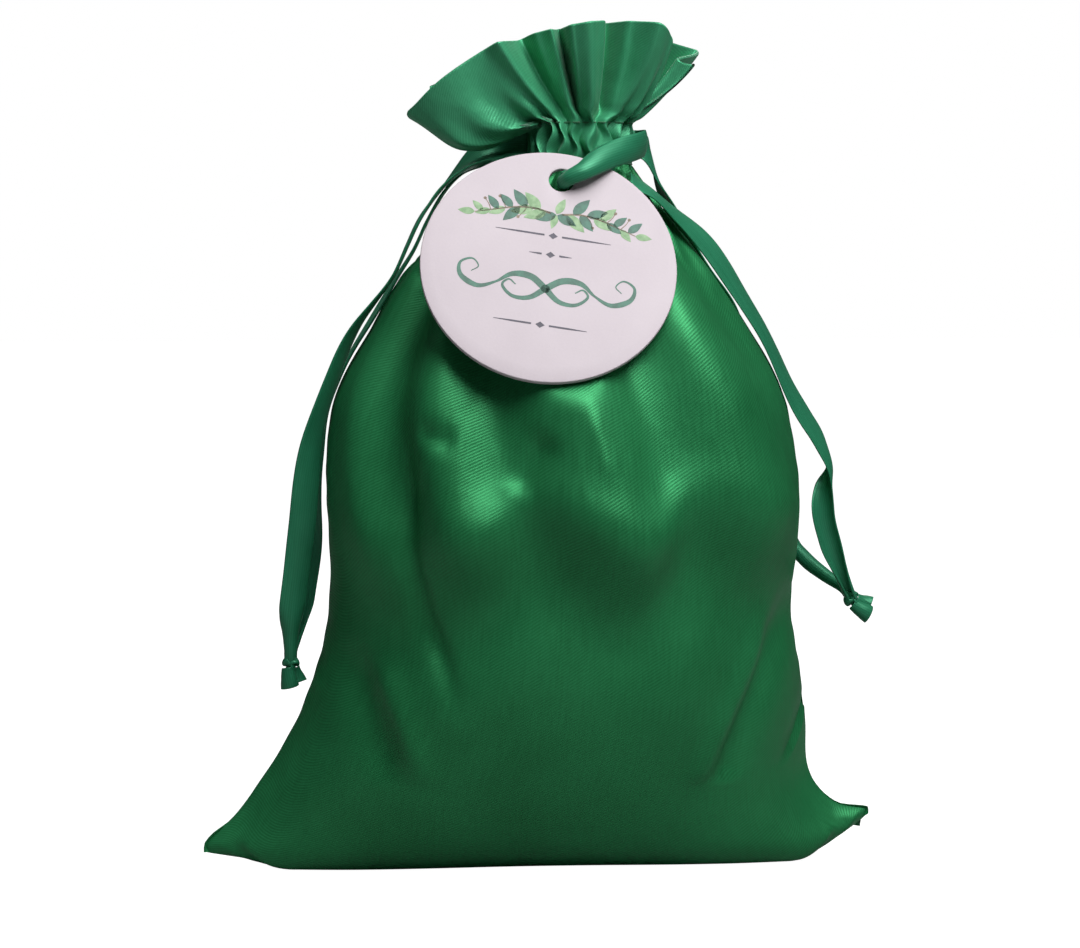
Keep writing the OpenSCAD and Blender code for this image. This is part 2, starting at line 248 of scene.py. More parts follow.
def satin(name, dark, light, rough, twill=0.65, lean=58, bump=0.5, sheen=0.15, metal=0.35,
          wrinkle=0.3):
    """Woven satin: a fine diagonal twill on the cloth UVs, in millimetres, and soft mottling."""
    t = new_tree(name)
    uv = t.node("UVMap", uv_map="cloth").outputs["UV"]
    turned = t.node("Mapping", {"Vector": uv, "Rotation": (0, 0, math.radians(lean))}).outputs[0]
    rib = t.node("TexWave", {"Vector": turned, "Scale": 0.314 / twill, "Distortion": 0.7,
                             "Detail": 1.0, "Detail Scale": 2.0}).outputs["Fac"]
    where = t.node("TexCoord").outputs["Object"]
    soft = t.noise(where, 38.0, 3.0)
    stretched = t.node("Mapping", {"Vector": uv, "Scale": (1.6, 0.12, 1)}).outputs[0]
    slub = t.noise(stretched, 1.0, 4.0)
    grain = t.noise(where, 2600.0, 1.0)
    mix = t.weigh(soft, 0.5, slub, 0.3)
    mix = t.math("ADD", mix, t.math("MULTIPLY", rib, 0.2))
    colour = t.ramp(mix, [(0.3, dark), (0.68, light)])
    roughness = t.remap(t.weigh(slub, 0.6, soft, 0.4), *rough)
    fine = t.weigh(rib, 0.7, grain, 0.3)
    crumple = t.noise(where, 120.0, 2.0)
    low = t.node("Bump", {"Strength": wrinkle, "Distance": 0.0006, "Height": crumple})
    high = t.node("Bump", {"Strength": bump, "Distance": 0.00006, "Height": fine,
                           "Normal": low.outputs[0]})
    return t.finish(Base_Color=colour, Roughness=roughness, Metallic=metal,
                    Anisotropic=0.3, Sheen_Weight=sheen, Sheen_Roughness=0.35,
                    Sheen_Tint=(0.55, 0.9, 0.7, 1), Specular_IOR_Level=0.3,
                    Normal=high.outputs[0])


sack_satin = satin("sack_satin", (0.011, 0.150, 0.047), (0.024, 0.250, 0.088), (0.38, 0.60),
                   sheen=0.0, metal=0.5)
# The casing and ruffle are cut from the same satin as the sack. This copy has a lighter colour to
# paint in the light that the ruffle catches from above: painted light, not a different cloth.
header_satin_painted_light = satin("header_satin_painted_light", (0.036, 0.270, 0.130), (0.060, 0.36, 0.18), (0.36, 0.58),
                     sheen=0.2, wrinkle=0.8)
seam_satin = satin("seam_satin", (0.006, 0.09, 0.03), (0.010, 0.13, 0.045), (0.44, 0.66),
                   metal=0.1)
ribbon_satin = satin("ribbon_satin", (0.013, 0.150, 0.070), (0.026, 0.22, 0.112), (0.32, 0.54),
                     twill=0.5, lean=0, bump=0.35, sheen=0.1, metal=0.3, wrinkle=0.2)


def thread_material():
    t = new_tree("sewing_thread")
    uv = t.node("UVMap", uv_map="cloth").outputs["UV"]
    turned = t.node("Mapping", {"Vector": uv, "Rotation": (0, 0, 0.7)}).outputs[0]
    ply = t.node("TexWave", {"Vector": turned, "Scale": 1.0, "Distortion": 0.4}).outputs["Fac"]
    colour = t.ramp(ply, [(0.1, (0.006, 0.10, 0.035)), (0.9, (0.016, 0.17, 0.065))])
    bump = t.node("Bump", {"Strength": 0.6, "Distance": 0.00005, "Height": ply})
    return t.finish(Base_Color=colour, Roughness=t.remap(ply, 0.5, 0.65), Sheen_Weight=0.3,
                    Normal=bump.outputs[0])


def board_material():
    t = new_tree("tag_board")
    where = t.node("TexCoord").outputs["Object"]
    cloud = t.noise(where, 60.0, 4.0)
    fibre = t.noise(where, 1800.0, 3.0)
    mix = t.weigh(cloud, 0.7, fibre, 0.3)
    colour = t.ramp(mix, [(0.3, (0.46, 0.405, 0.44)), (0.7, (0.51, 0.455, 0.49))])
    bump = t.node("Bump", {"Strength": 0.25, "Distance": 0.00005, "Height": fibre})
    return t.finish(Base_Color=colour, Roughness=t.remap(fibre, 0.5, 0.62),
                    Specular_IOR_Level=0.35, Normal=bump.outputs[0])


def print_material(name, dark, light):
    t = new_tree(name)
    where = t.node("TexCoord").outputs["Object"]
    wash = t.noise(where, 700.0, 3.0)
    colour = t.ramp(wash, [(0.35, dark), (0.65, light)])
    return t.finish(Base_Color=colour, Roughness=t.remap(wash, 0.5, 0.6))


thread = thread_material()
board = board_material()
leaf_dark = print_material("leaf_dark_print", (0.020, 0.090, 0.060), (0.045, 0.16, 0.11))
leaf_light = print_material("leaf_light_print", (0.14, 0.27, 0.12), (0.26, 0.40, 0.22))
twig_brown = print_material("twig_print", (0.16, 0.12, 0.08), (0.26, 0.20, 0.14))
ink = print_material("ink_print", (0.035, 0.030, 0.05), (0.06, 0.055, 0.08))


def dress(obj, material):
    obj.data.materials.append(material)
    return obj


# ---- Ribbons ----

# Each ribbon's points, x, y and z, with the way its width points there, as in the CAD.
LEFT_FRONT = np.array([
    (-2.4, 2.15, 160.5, 0, 0, 1), (-7.2, 1.9, 160.3, 0, 0.1, 1), (-12.4, 1.2, 158.6, 0, 0.8, 1),
    (-17.4, 0.4, 155.2, 0, 1, 0.4), (-22, -0.4, 150.4, 0, 1, 0), (-25.8, -1, 144.6, 0, 1, 0),
    (-29, -1.2, 138.2, 0.1, 1, 0), (-32.4, -1.2, 131.8, 0.2, 1, 0.1),
    (-36.6, -1.2, 125.6, 0.3, 1, 0.2), (-40.8, -1.2, 119.2, 0.4, 1, 0.2),
    (-44.6, -1.4, 112, 0.6, 1, 0.2), (-47.8, -1.6, 104, 0.9, 0.9, 0.2),
    (-50.2, -1.8, 95, 1, 0.6, 0.2), (-51.8, -1.8, 85.6, 1, 0.4, 0.1),
    (-52.8, -1.6, 76, 1, 0.3, 0.1), (-53.8, -1.2, 66.6, 1, 0.3, 0.1), (-55, -0.6, 57.8, 1, 0.2, 0),
    (-55.4, 0.6, 51.6, 1, 0, 0), (-55.4, 1, 48, 1, 0, 0)])
LEFT_BACK = np.array([
    (-2.4, 3.85, 160.5, 0, 0, 1), (-7, 4.2, 160, 0, -0.1, 1), (-11.8, 4.6, 157.6, 0, 0.8, 1),
    (-16.8, 5, 154, 0, 1, 0.3), (-21.2, 5.4, 149.4, 0, 1, 0), (-24.8, 5.8, 143.2, 0, 1, 0),
    (-27.6, 6, 136.4, 0, 1, 0), (-31.6, 6, 130, 0, 1, 0), (-36, 6, 123.4, 0, 1, 0),
    (-40.2, 6, 116.2, 0, 1, 0), (-44, 6, 108.4, -0.1, 1, 0), (-47.8, 6.2, 100, -0.4, 1, 0),
    (-49.4, 6.4, 91, -0.7, 1, 0), (-49.9, 6.4, 81.6, -0.7, 1, 0), (-50.3, 6.2, 72.4, -0.8, 1, 0),
    (-51.3, 5.6, 63.6, -0.9, 1, 0), (-52.8, 4.3, 56, -1, 0.7, 0), (-54.6, 2.8, 50.6, -1, 0.3, 0),
    (-55.4, 2.2, 48, -1, 0, 0)])
RIGHT_FRONT = np.array([
    (19, -10, 152.6, 0, 0.8, 0.6), (24.8, -8.4, 149.4, 0.2, 1, 0.3),
    (30.4, -6.4, 144.4, 0.4, 0.9, 0.3), (35.6, -5.2, 139.2, 0.5, 0.8, 0.4),
    (40.2, -4.6, 133.6, 0.5, 0.8, 0.4), (44.4, -4, 127.6, 0.5, 0.8, 0.3),
    (48.2, -3.4, 121.2, 0.5, 0.8, 0.3), (51.8, -2.8, 114.4, 0.5, 0.9, 0.3),
    (55.4, -2.4, 107.4, 0.5, 1, 0.3), (59.2, -2, 100.4, 0.6, 1, 0.3),
    (63, -1.6, 93.8, 0.6, 1, 0.2), (65, -1.2, 88.4, 0.2, 1, 0), (64.2, -1, 83.4, -0.6, 0.8, 0),
    (63.6, -1, 78, -1, 0.2, 0), (65, -0.8, 72, -1, 0, -0.2), (67.2, -0.4, 66.2, -1, 0, -0.2),
    (69.2, 0.2, 61.4, -1, 0, -0.2)])
RIGHT_BACK = np.array([
    (20.6, 3.85, 160.5, 0, 0, 1), (23, 4.2, 160.2, 0, 0.2, 1), (25.4, 5.2, 157, 0, 1, 0.8),
    (27.6, 6.4, 151.4, -0.1, 1, 0), (30.6, 7.4, 145, -0.3, 1, -0.2),
    (34.2, 8.4, 138.6, -0.4, 1, -0.2), (38.4, 9.6, 132.2, -0.4, 1, -0.2),
    (42.6, 11, 125.8, -0.3, 1, -0.2), (46.6, 12.8, 118.8, -0.1, 1, 0),
    (50.8, 14, 111.2, -0.2, 1, 0), (54.3, 15, 103, -0.3, 1, 0), (56.1, 15.5, 94.6, -0.4, 1, 0),
    (57, 15.5, 86.2, -0.4, 1, 0), (57.8, 14.5, 78.2, -0.3, 1, 0),
    (58.6, 12.2, 71.8, -0.2, 0.8, 0.5), (61.4, 9, 67, 0, 0.4, 1), (65.2, 5.8, 63.6, 0.4, 0.1, 1),
    (68.8, 2.8, 61.2, 0.8, 0, 0.6)])
# The bight's rows end with the width that its folded ribbon has there.
BIGHT = np.array([
    (21.8, 1.4, 160.5, 0, 0, 1, 5.6), (23, -1.8, 160.5, 0, 0, 1, 5.8),
    (22.8, -6, 160.3, 0, 0, 1, 5.8), (20.4, -10.4, 159.6, 0, 0.1, 1, 5.8),
    (16.6, -14.3, 158.6, 0, 0.3, 1, 5.6), (12, -17.8, 157, 0, 0.4, 0.9, 5.2),
    (7.8, -19.6, 155, 0, 0.5, 0.9, 4.4), (4.4, -18.9, 153.3, 0, 0.5, 0.9, 3.4),
    (3.25, -16.29, 152.06, 0, 0.5, 0.9, 3), (4.2, -15, 152.5, 0, 0.5, 0.9, 3.2),
    (7, -14.2, 153.3, 0, 0.5, 0.9, 3.8), (11, -13.3, 154, 0, 0.6, 0.8, 4.4),
    (15.5, -11.9, 154.5, 0, 0.7, 0.7, 4.8)])
LEFT_KNOT = (-55.4, 1.6, 45.4)
RIGHT_KNOT = (70.6, 1.2, 58.6)
LEFT_SHOULDER, RIGHT_FRONT_SHOULDER, RIGHT_BACK_SHOULDER = 4, 2, 4
RIBBON_W, RIBBON_T = 6.0, 0.34
SPREAD_W = 5.99  # the width of a ribbon that isn't curled
ROUTE_STEPS = 10  # between the points of a route


def half_angle(share):
    """Half the angle of an arc whose chord is that share of its length."""
    angles = np.linspace(0.01, 3.0, 300)
    return np.interp(-np.asarray(share), -np.sin(angles) / angles, angles)


def ribbon_rings(line, spread, width, thick=RIBBON_T, camber=0.3, curl=1.0):
    """Cross sections of a flat ribbon with firmer edges. Where it is narrower than it is
    long across, it curls into an arc of the same length."""
    along = unit(np.gradient(line, axis=0))
    normal = unit(np.cross(along, spread))
    across = unit(np.cross(normal, along))
    theta = np.maximum(half_angle(np.minimum(width / RIBBON_W, 0.998)), camber)
    radius = RIBBON_W / 2 / theta
    u = np.linspace(-1, 1, 15)
    half = thick / 2 * (1 + 0.55 * np.exp(-((np.abs(u) - 0.93) / 0.05) ** 2))
    centre = radius * np.sin(theta) / theta
    outline = [(v, h) for v, h in zip(u, half)] + [(1.0, 0.0)]
    outline += [(v, -h) for v, h in zip(u[::-1], half[::-1])] + [(-1.0, 0.0)]
    rings = []
    for v, h in outline:
        edge = thick * 0.45 if h == 0 else 0.0
        reach = radius + curl * h
        x = reach * np.sin(theta * v) + edge * np.sign(v) * np.cos(theta * v)
        y = curl * (reach * np.cos(theta * v) - centre) - edge * np.sign(v) * np.sin(theta * v)
        rings.append(line + across * x[:, None] + normal * y[:, None])
    uv = uv_grid([RIBBON_W * (v + 1) / 2 for v, _ in outline], arc_length(line))
    return np.stack(rings, axis=1), uv


def ribbon(name, route, seed, ripple=0.25, curl=1.0, slim=SPREAD_W, tied=None):
    """A ribbon along a route, with its path in metres and its length in metres. One that
    is tied crumples narrow into the knot there."""
    if tied is not None:
        route = np.vstack([route, [*tied, *route[-1, 3:]]])
    t = np.linspace(0, len(route) - 1, (len(route) - 1) * ROUTE_STEPS + 1)
    line, spread, width = np.split(between(route, t), [3, 6], axis=1)
    width = width[:, 0] if width.size else np.full(len(t), SPREAD_W)
    draws = np.random.RandomState(seed)
    length = arc_length(line)
    if tied is not None:
        # Full width far from the knot, slim above it, and 0.3 of that as it goes in.
        left = length[-1] - length
        width = slim + (width - slim) * step(left, 15, 45)
        width = width * (0.3 + 0.7 * step(left, 1.0, 15.0))
    fade = step(length, 0, 12) * step(length[-1] - length, 0, 12)
    twist = sum(draws.uniform(-1, 1) * np.sin(length / draws.uniform(5, 11) + draws.uniform(0, 6))
                for _ in range(3))
    normal = unit(np.cross(unit(np.gradient(line, axis=0)), spread))
    spread = unit(spread) + normal * (0.12 * twist * fade)[:, None]
    line = line + normal * (ripple * np.sin(length / 4.3 + draws.uniform(0, 6)) * fade)[:, None]
    rings, uv = ribbon_rings(line, spread, width, curl=curl)
    obj = loft(name, rings, uv)
    dress(obj, ribbon_satin)
    return obj, (line * MM).tolist(), float(length[-1] * MM)


def knot(name, place, tilt):
    """An overhand knot of the two ribbons, with their cut ends flaring out of it."""
    a = full_turn(96)
    path = np.stack([np.sin(a) + 1.55 * np.sin(2 * a), 0.9 * np.sin(3 * a),
                     1.25 * (np.cos(a) - 1.3 * np.cos(2 * a))], axis=1) * 0.56
    path -= path.mean(axis=0)
    along = unit(np.roll(path, -1, axis=0) - np.roll(path, 1, axis=0))
    side = unit(np.cross(along, unit(path)))
    out = np.cross(side, along)
    b = full_turn(14)
    rings = (path[:, None] + side[:, None] * (1.25 * np.cos(b))[None, :, None]
             + out[:, None] * (0.5 * np.sin(b))[None, :, None])
    faces = tube_faces(len(a), len(b), endless=True)
    points = [rings.reshape(-1, 3)]
    uv = [uv_grid(b * 1.2, np.arange(len(a)) * 0.4).reshape(-1, 2)]
    for route in KNOT_ENDS:
        t = np.linspace(0, len(route) - 1, 25)
        line, spread, width = np.split(between(route, t), [3, 6], axis=1)
        strip, strip_uv = ribbon_rings(line, spread, width[:, 0], camber=0.5)
        faces += tube_faces(*strip.shape[:2], offset=sum(len(p) for p in points))
        points.append(strip.reshape(-1, 3))
        uv.append(strip_uv.reshape(-1, 2))
    points = np.concatenate(points) @ np.array(Matrix.Rotation(math.radians(tilt), 3, "Y")).T
    obj = make_mesh(name, points + np.array(place), faces, np.concatenate(uv))
    return dress(obj, ribbon_satin)


# As in the routes: the two cut ends, from the knot outwards, with their widths.
KNOT_ENDS = [[(-0.6, -0.5, -0.8, 1, 0, 0, 1.8), (-0.5, -0.7, -2.2, 1, 0.1, 0, 2.6),
              (-0.2, -0.9, -3.8, 1, 0.2, 0, 3.4), (0.1, -0.8, -5.2, 1, 0.3, 0.1, 3.9)],
             [(0.5, 0.5, -0.8, 1, 0, 0, 1.8), (0.7, 0.7, -2.0, 1, -0.1, 0, 2.5),
              (1.0, 0.8, -3.2, 1, -0.3, 0, 3.2), (1.4, 0.7, -4.4, 1, -0.4, 0.2, 3.6)]]
left_knot = knot("left_knot_tied", LEFT_KNOT, 0)
right_knot = knot("right_knot_tied", RIGHT_KNOT, -50)
for piece, body, node in ((left_knot, "left_tails", "left_knot"),
                          (right_knot, "right_tails", "right_knot")):
    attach(piece, body)
    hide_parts(node)

# Each with the width that it is curled to above its knot.
STRANDS = (("left_front", LEFT_FRONT, LEFT_SHOULDER, "left", left_knot, LEFT_KNOT, 5.9),
           ("left_back", LEFT_BACK, LEFT_SHOULDER, "left", left_knot, LEFT_KNOT, 5.9),
           ("right_front", RIGHT_FRONT, RIGHT_FRONT_SHOULDER, "right", right_knot, RIGHT_KNOT,
            4.6),
           ("right_back", RIGHT_BACK, RIGHT_BACK_SHOULDER, "right", right_knot, RIGHT_KNOT, 2.9))
for seed, (name, route, shoulder, side, tied, place, slim) in enumerate(STRANDS, 1):
    obj, path, length = ribbon(name + "_strand", route, seed, slim=slim, tied=place)
    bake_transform(obj)
    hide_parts(name + "_lead", name + "_tail")

bight, bight_path, bight_length = ribbon("tag_bight_ribbon", BIGHT, 5, ripple=0.1, curl=-1.0)
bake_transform(bight)
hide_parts("tag_bight")


# ---- The sack's cloth ----

# Height, middle x, half width, front depth, back depth and roundness, as in the CAD, but
# with the bottom seam run out to the tips of the ears.
STATIONS = np.array([
    [0, 0, 75, 14, 12, 0], [3, 0, 75, 17, 14.5, 0], [9, -0.5, 69, 22, 18.5, 0.05],
    [17, -0.5, 63.5, 27.5, 23.5, 0.15], [34, 3.5, 57.5, 36, 31, 0.4],
    [58, 5.5, 52.5, 41.5, 35.5, 0.8], [76, 6, 53, 44, 38, 1], [92, 5.5, 52.5, 43, 37.5, 1],
    [106, 5.5, 49.5, 40, 35, 1], [118, 5.5, 42.5, 35.5, 31, 1], [130, 5, 34.5, 29, 26, 1],
    [142, 6, 24, 21.5, 20, 1], [150, 8, 16.7, 16.7, 16.2, 1],
    [156, 9, 11.5, 11.5, 11.5, 1]], float)

CUT_W, CUT_L = 152.0, 229.0  # one panel of the flat bag, with its header
HEM_LOW, HEM_HIGH = 195.0, 204.0  # the casing's stitch rows, up the cut cloth
COLUMNS = 96  # of each panel in the simulation
FRAMES = 24  # of the simulation
TIMES = 2  # how much finer the finished cloth is than the simulated one
EAR_ROWS = 18  # of the cloth, from the bottom seam, that the ears take up


def station(z, k):
    """One measure of the level at height z, on a Hermite curve through the stations."""
    x, y = STATIONS[:, 0], STATIONS[:, k]
    z = np.clip(np.asarray(z, float), x[0], x[-1])
    i = np.clip(np.searchsorted(x, z, side="right") - 1, 0, len(x) - 2)
    h = x[i + 1] - x[i]
    t = (z - x[i]) / h
    m = np.gradient(y, x)
    return ((2 * t**3 - 3 * t**2 + 1) * y[i] + (t**3 - 2 * t**2 + t) * h * m[i]
            + (-2 * t**3 + 3 * t**2) * y[i + 1] + (t**3 - t**2) * h * m[i + 1])


def half_level(z, side, share):
    """Points of half a level at equal shares of its length, from the left side seam."""
    cx, hw, roundness = station(z, 1), station(z, 2), station(z, 5)
    depth = station(z, 3 if side < 0 else 4)
    a = np.linspace(-np.pi / 2, np.pi / 2, 400)
    p, q = 3.2 - 1.2 * roundness, 1 - 0.5 * roundness
    x = cx + hw * np.sin(a)
    y = SEAM_Y + side * depth * np.maximum(0, 1 - np.abs(np.sin(a)) ** p) ** q
    length = arc_length(np.stack([x, y], axis=1))
    return (np.interp(share, length / length[-1], x), np.interp(share, length / length[-1], y))


def cloth_rows():
    """Places up the cut cloth, closer together towards the neck."""
    rows, s = [0.0], 0.0
    while s < HEM_LOW - 1e-6:
        s = min(HEM_LOW, s + (3.6 if s < 120 else 3.0 if s < 160 else 2.2))
        rows.append(s)
    rows += [HEM_LOW + (HEM_HIGH - HEM_LOW) * k / 5 for k in range(1, 6)]
    rows += [HEM_HIGH + (CUT_L - HEM_HIGH) * k / 12 for k in range(1, 13)]
    return np.array(rows)


ROWS = cloth_rows()
AROUND = np.arange(2 * COLUMNS) / (2 * COLUMNS)  # 0 left seam, 0.5 right seam

draws = np.random.RandomState(7)


def waves(numbers, depth):
    """A smooth random wave round the sack, of that many whole periods each."""
    return sum(depth(k) * draws.uniform(-1, 1)
               * np.sin(2 * np.pi * k * AROUND + draws.uniform(0, 6.28)) for k in numbers)


GATHERS, GATHER_DEPTH = 26, 1.9
gathering = np.cos(2 * np.pi * GATHERS * (AROUND + waves(range(1, 6), lambda k: 0.03 / k)))
gathering = gathering * (1 + waves((3, 5, 7), lambda k: 0.4))
shoulder_folds = sum(a * np.cos(2 * np.pi * k * AROUND + p)
                     for k, a, p in ((9, 0.6, 0.4), (13, 0.5, 1.9), (6, 0.4, 4.0)))
# Ridges and valleys of the header's rim, by share of the way round from the left seam.
RIM_FOLDS = [(0.0, 1), (0.05, 4), (0.10, 5), (0.15, 3), (0.172, 5), (0.19, -7), (0.212, -2),
             (0.231, 0), (0.238, -8), (0.246, 4), (0.267, 6), (0.284, 3), (0.299, -8),
             (0.318, 0), (0.35, 6), (0.40, 4), (0.45, 0), (0.5, -2),
             (0.54, -5), (0.58, 5), (0.62, -6), (0.66, 5), (0.70, -5.5), (0.745, 6),
             (0.79, -6), (0.835, 5), (0.875, -5), (0.915, 5.5), (0.96, -4), (1.0, 2)]
rim_folds = through(RIM_FOLDS, AROUND)


def start_shape():
    """The sack drawn up as the stations say, before the cloth settles."""
    share = np.arange(COLUMNS + 1) / COLUMNS
    heights = np.linspace(0, CASING_Z, 600)
    climb = {}
    for side in (-1, 1):
        depth = station(heights, 3 if side < 0 else 4)
        length = depth[0] + arc_length(np.stack([depth, heights], axis=1))
        climb[side] = length * HEM_LOW / length[-1]
    # Beside a seam the cloth climbs from the ear's tip; between them it lies down first.
    near = np.exp(-(np.minimum(share, 1 - share) / 0.07) ** 2)
    grid = np.zeros((len(ROWS), 2 * COLUMNS, 3))
    for r, s in enumerate(ROWS):
        if s <= HEM_LOW + 1e-6:
            halves = []
            for side in (-1, 1):
                z = (np.interp(s, climb[side], heights) * (1 - near)
                     + s * CASING_Z / HEM_LOW * near)
                spread = min(1, s / climb[side][0]) * (1 - near) + min(1, s / 3) * near
                xy = np.array([half_level(h, side, c) for h, c in zip(z, share)])
                halves.append(np.stack([xy[:, 0], SEAM_Y + (xy[:, 1] - SEAM_Y) * spread,
                                        np.maximum(z, 0.3)], axis=1))
            ring = np.concatenate([halves[0], halves[1][::-1][1:-1]])
            z = ring[:, 2].mean()
            gather = np.clip((z - 118) / (CASING_Z - 118), 0, 1) ** 2.5
            slope = np.clip((z - 85) / 55, 0, 1) * np.clip((CASING_Z - z) / 14, 0, 1)
            out = unit(ring[:, :2] - [station(min(z, CASING_Z), 1), SEAM_Y])
            push = (GATHER_DEPTH * gathering - GATHER_DEPTH) * gather + shoulder_folds * slope * 1.6
            ring[:, :2] += out * push[:, None]
        else:
            a = -np.pi + 2 * np.pi * AROUND
            ca, sa = np.cos(a), np.sin(a)
            t = max(0.0, (s - HEM_HIGH) / (CUT_L - HEM_HIGH))
            swell = t**0.75
            rx = NECK_R + (MOUTH_RX - NECK_R) * swell
            ry = NECK_R + (MOUTH_RY - NECK_R) * swell
            rise = 20.5 - 12.8 * np.abs(ca) ** 3 + 5 * ca
            out = unit(np.stack([ca / rx, sa / ry], axis=1))
            push = (GATHER_DEPTH * gathering - GATHER_DEPTH) * (1 - t) ** 2
            push = push + 1.15 * rim_folds * t**0.65
            z = (CASING_TOP + rise * t if t > 0
                 else np.full_like(ca, CASING_Z + s - HEM_LOW))
            ring = np.stack([NECK_X - 3 * t + rx * ca + out[:, 0] * push,
                             SEAM_Y + ry * sa + out[:, 1] * push, z], axis=1)
        grid[r] = ring
    # The ears are bent up a little.
    for row in grid[:EAR_ROWS]:
        x, z = row[:, 0], row[:, 2]
        lift = (9.0 * np.maximum(0, (x - 59) / 16) ** 1.5
                + 2.6 * np.maximum(0, (-x - 60) / 15))
        row[:, 2] = z + lift * np.clip(1 - z / 40, 0, 1)
    grid[0, :, 2] += 0.3
    return grid


CLOTH_SETTINGS = dict(
    quality=8, mass=0.2, tension_stiffness=15, compression_stiffness=15, shear_stiffness=5,
    bending_stiffness=1.0, tension_damping=5, compression_damping=5, shear_damping=5,
    bending_damping=0.5, air_damping=1, vertex_group_mass="pin", pin_stiffness=1,
    use_pressure=True, uniform_pressure_force=1.2, vertex_group_pressure="swell")


def settle(grid):
    """The start shape settled as cloth, over a filling and with the neck held drawn."""
    scale = 0.01  # ten times life size, which the solver handles better
    count = 2 * COLUMNS
    index = np.zeros((len(ROWS), count), int)
    points, flat = [], []
    for r in range(len(ROWS)):
        for c in range(count):
            if r == 0 and c > COLUMNS:
                index[r, c] = index[r, count - c]
                continue
            index[r, c] = len(points)
            across = c / COLUMNS if c <= COLUMNS else (count - c) / COLUMNS
            side = -1 if c <= COLUMNS else 1
            points.append(grid[r, c] * scale)
            flat.append(np.array([CUT_W * (across - 0.5),
                                  0.1 * side if 0 < c % COLUMNS else 0, ROWS[r]]) * scale)
    faces = []
    for r in range(len(ROWS) - 1):
        for c in range(count):
            d = (c + 1) % count
            loop = [index[r, c], index[r, d], index[r + 1, d], index[r + 1, c]]
            loop = [int(v) for k, v in enumerate(loop) if v not in loop[:k]]
            if len(loop) > 2:
                faces.append(loop)
    mesh = bpy.data.meshes.new("settling")
    mesh.from_pydata([tuple(p) for p in points], [], faces)
    obj = link("settling", mesh)
    obj.shape_key_add(name="Basis")
    cut = obj.shape_key_add(name="cut")
    cut.data.foreach_set("co", np.array(flat, np.float32).ravel())
    cut.value = 0
    pin = obj.vertex_groups.new(name="pin")
    swell = obj.vertex_groups.new(name="swell")
    for r, s in enumerate(ROWS):
        held = 0.6 if s > HEM_HIGH + 1e-6 else 1.0 if s >= HEM_LOW - 1e-6 or r == 0 else 0.0
        members = sorted({int(v) for v in index[r]})
        if held:
            pin.add(members, held, "REPLACE")
        swell.add(members, float(np.clip((HEM_LOW - s) / 40, 0, 1)), "REPLACE")
    modifier = obj.modifiers.new("cloth", "CLOTH")
    settings, collision = modifier.settings, modifier.collision_settings
    for key, value in CLOTH_SETTINGS.items():
        setattr(settings, key, value)
    settings.rest_shape_key = cut
    settings.effector_weights.gravity = 0.15
    collision.distance_min = 0.006
    collision.collision_quality = 3
    collision.use_self_collision = False
    ground = square("ground", 10, -0.6 * scale)
    fill = 0.96
    turn = full_turn(48)
    body = []
    for z in np.linspace(6, 138, 34):
        p, q = 3.2 - 1.2 * station(z, 5), 1 - 0.5 * station(z, 5)
        depth = np.where(np.sin(turn) < 0, station(z, 3), station(z, 4))
        y = np.sign(np.sin(turn)) * depth * np.maximum(0, 1 - np.abs(np.cos(turn)) ** p) ** q
        x = station(z, 1) + station(z, 2) * fill * np.cos(turn)
        body.append(np.stack([x, SEAM_Y + y * fill, np.full_like(turn, z)], axis=1))
    filling = loft("filling", np.array(body))
    filling.scale = [scale / MM] * 3
    for obstacle, thickness, friction in ((ground, 0.005, 30), (filling, 0.008, 5)):
        obstacle.modifiers.new("collision", "COLLISION")
        obstacle.collision.thickness_outer = thickness
        obstacle.collision.cloth_friction = friction
    modifier.point_cache.frame_start, modifier.point_cache.frame_end = 1, FRAMES
    scene = bpy.context.scene
    for number in range(1, FRAMES + 1):
        scene.frame_set(number)
    shown = obj.evaluated_get(bpy.context.evaluated_depsgraph_get())
    result = shown.to_mesh()
    settled = np.zeros(len(result.vertices) * 3, np.float32)
    result.vertices.foreach_get("co", settled)
    shown.to_mesh_clear()
    scene.frame_set(1)
    for helper in (obj, ground, filling):
        bpy.data.objects.remove(helper)
    settled = (settled.reshape(-1, 3) / scale)[index].astype(float)
    settled[..., 2] = np.maximum(settled[..., 2], 0.2)
    return settled


def refine(grid, times):
    """The grid with that many times its rows and columns, on smooth curves."""
    rows, columns = grid.shape[:2]
    t = np.linspace(0, rows - 1, (rows - 1) * times + 1)
    grid = between(grid, t)
    t = np.linspace(0, columns - 1, (columns - 1) * times + 1)
    return between(grid.transpose(1, 0, 2), t).transpose(1, 0, 2)


def grid_normals(grid):
    return unit(np.cross(np.gradient(grid, axis=1), np.gradient(grid, axis=0)))


cloth = start_shape()
cloth = settle(cloth)
closed = np.concatenate([cloth, cloth[:, :1]], axis=1)
halves = {-1: refine(closed[:, :COLUMNS + 1], TIMES), 1: refine(closed[:, COLUMNS:], TIMES)}
row_s = np.interp(np.arange((len(ROWS) - 1) * TIMES + 1) / TIMES, np.arange(len(ROWS)), ROWS)
low_row = int(np.argmin(np.abs(row_s - HEM_LOW)))
high_row = int(np.argmin(np.abs(row_s - HEM_HIGH)))


# ---- Folds worked into the cloth ----

# Ridges and valleys round the front of the belly, by angle in degrees from its middle.
BELLY_FOLDS = [(-90, 0), (-62, 0.7), (-46, -1.3), (-30, 1.3), (-13, -1.3), (8, 1.7),
               (25, -1.2), (47, 1.7), (75, -0.3), (90, 0)]
BACK_FOLDS = [(-90, 0), (-64, 0.7), (-40, -1), (-22, 1.1), (-2, -1), (20, 1.2), (38, -0.9),
              (60, 0.8), (90, 0)]
# Where the full belly turns under, as (x, z): lower under its lobes than between them.
BELLY_EDGE = [(-60, 74), (-34, 67), (-20, 67), (-5, 77), (17, 67), (32, 77), (48, 73), (60, 77)]
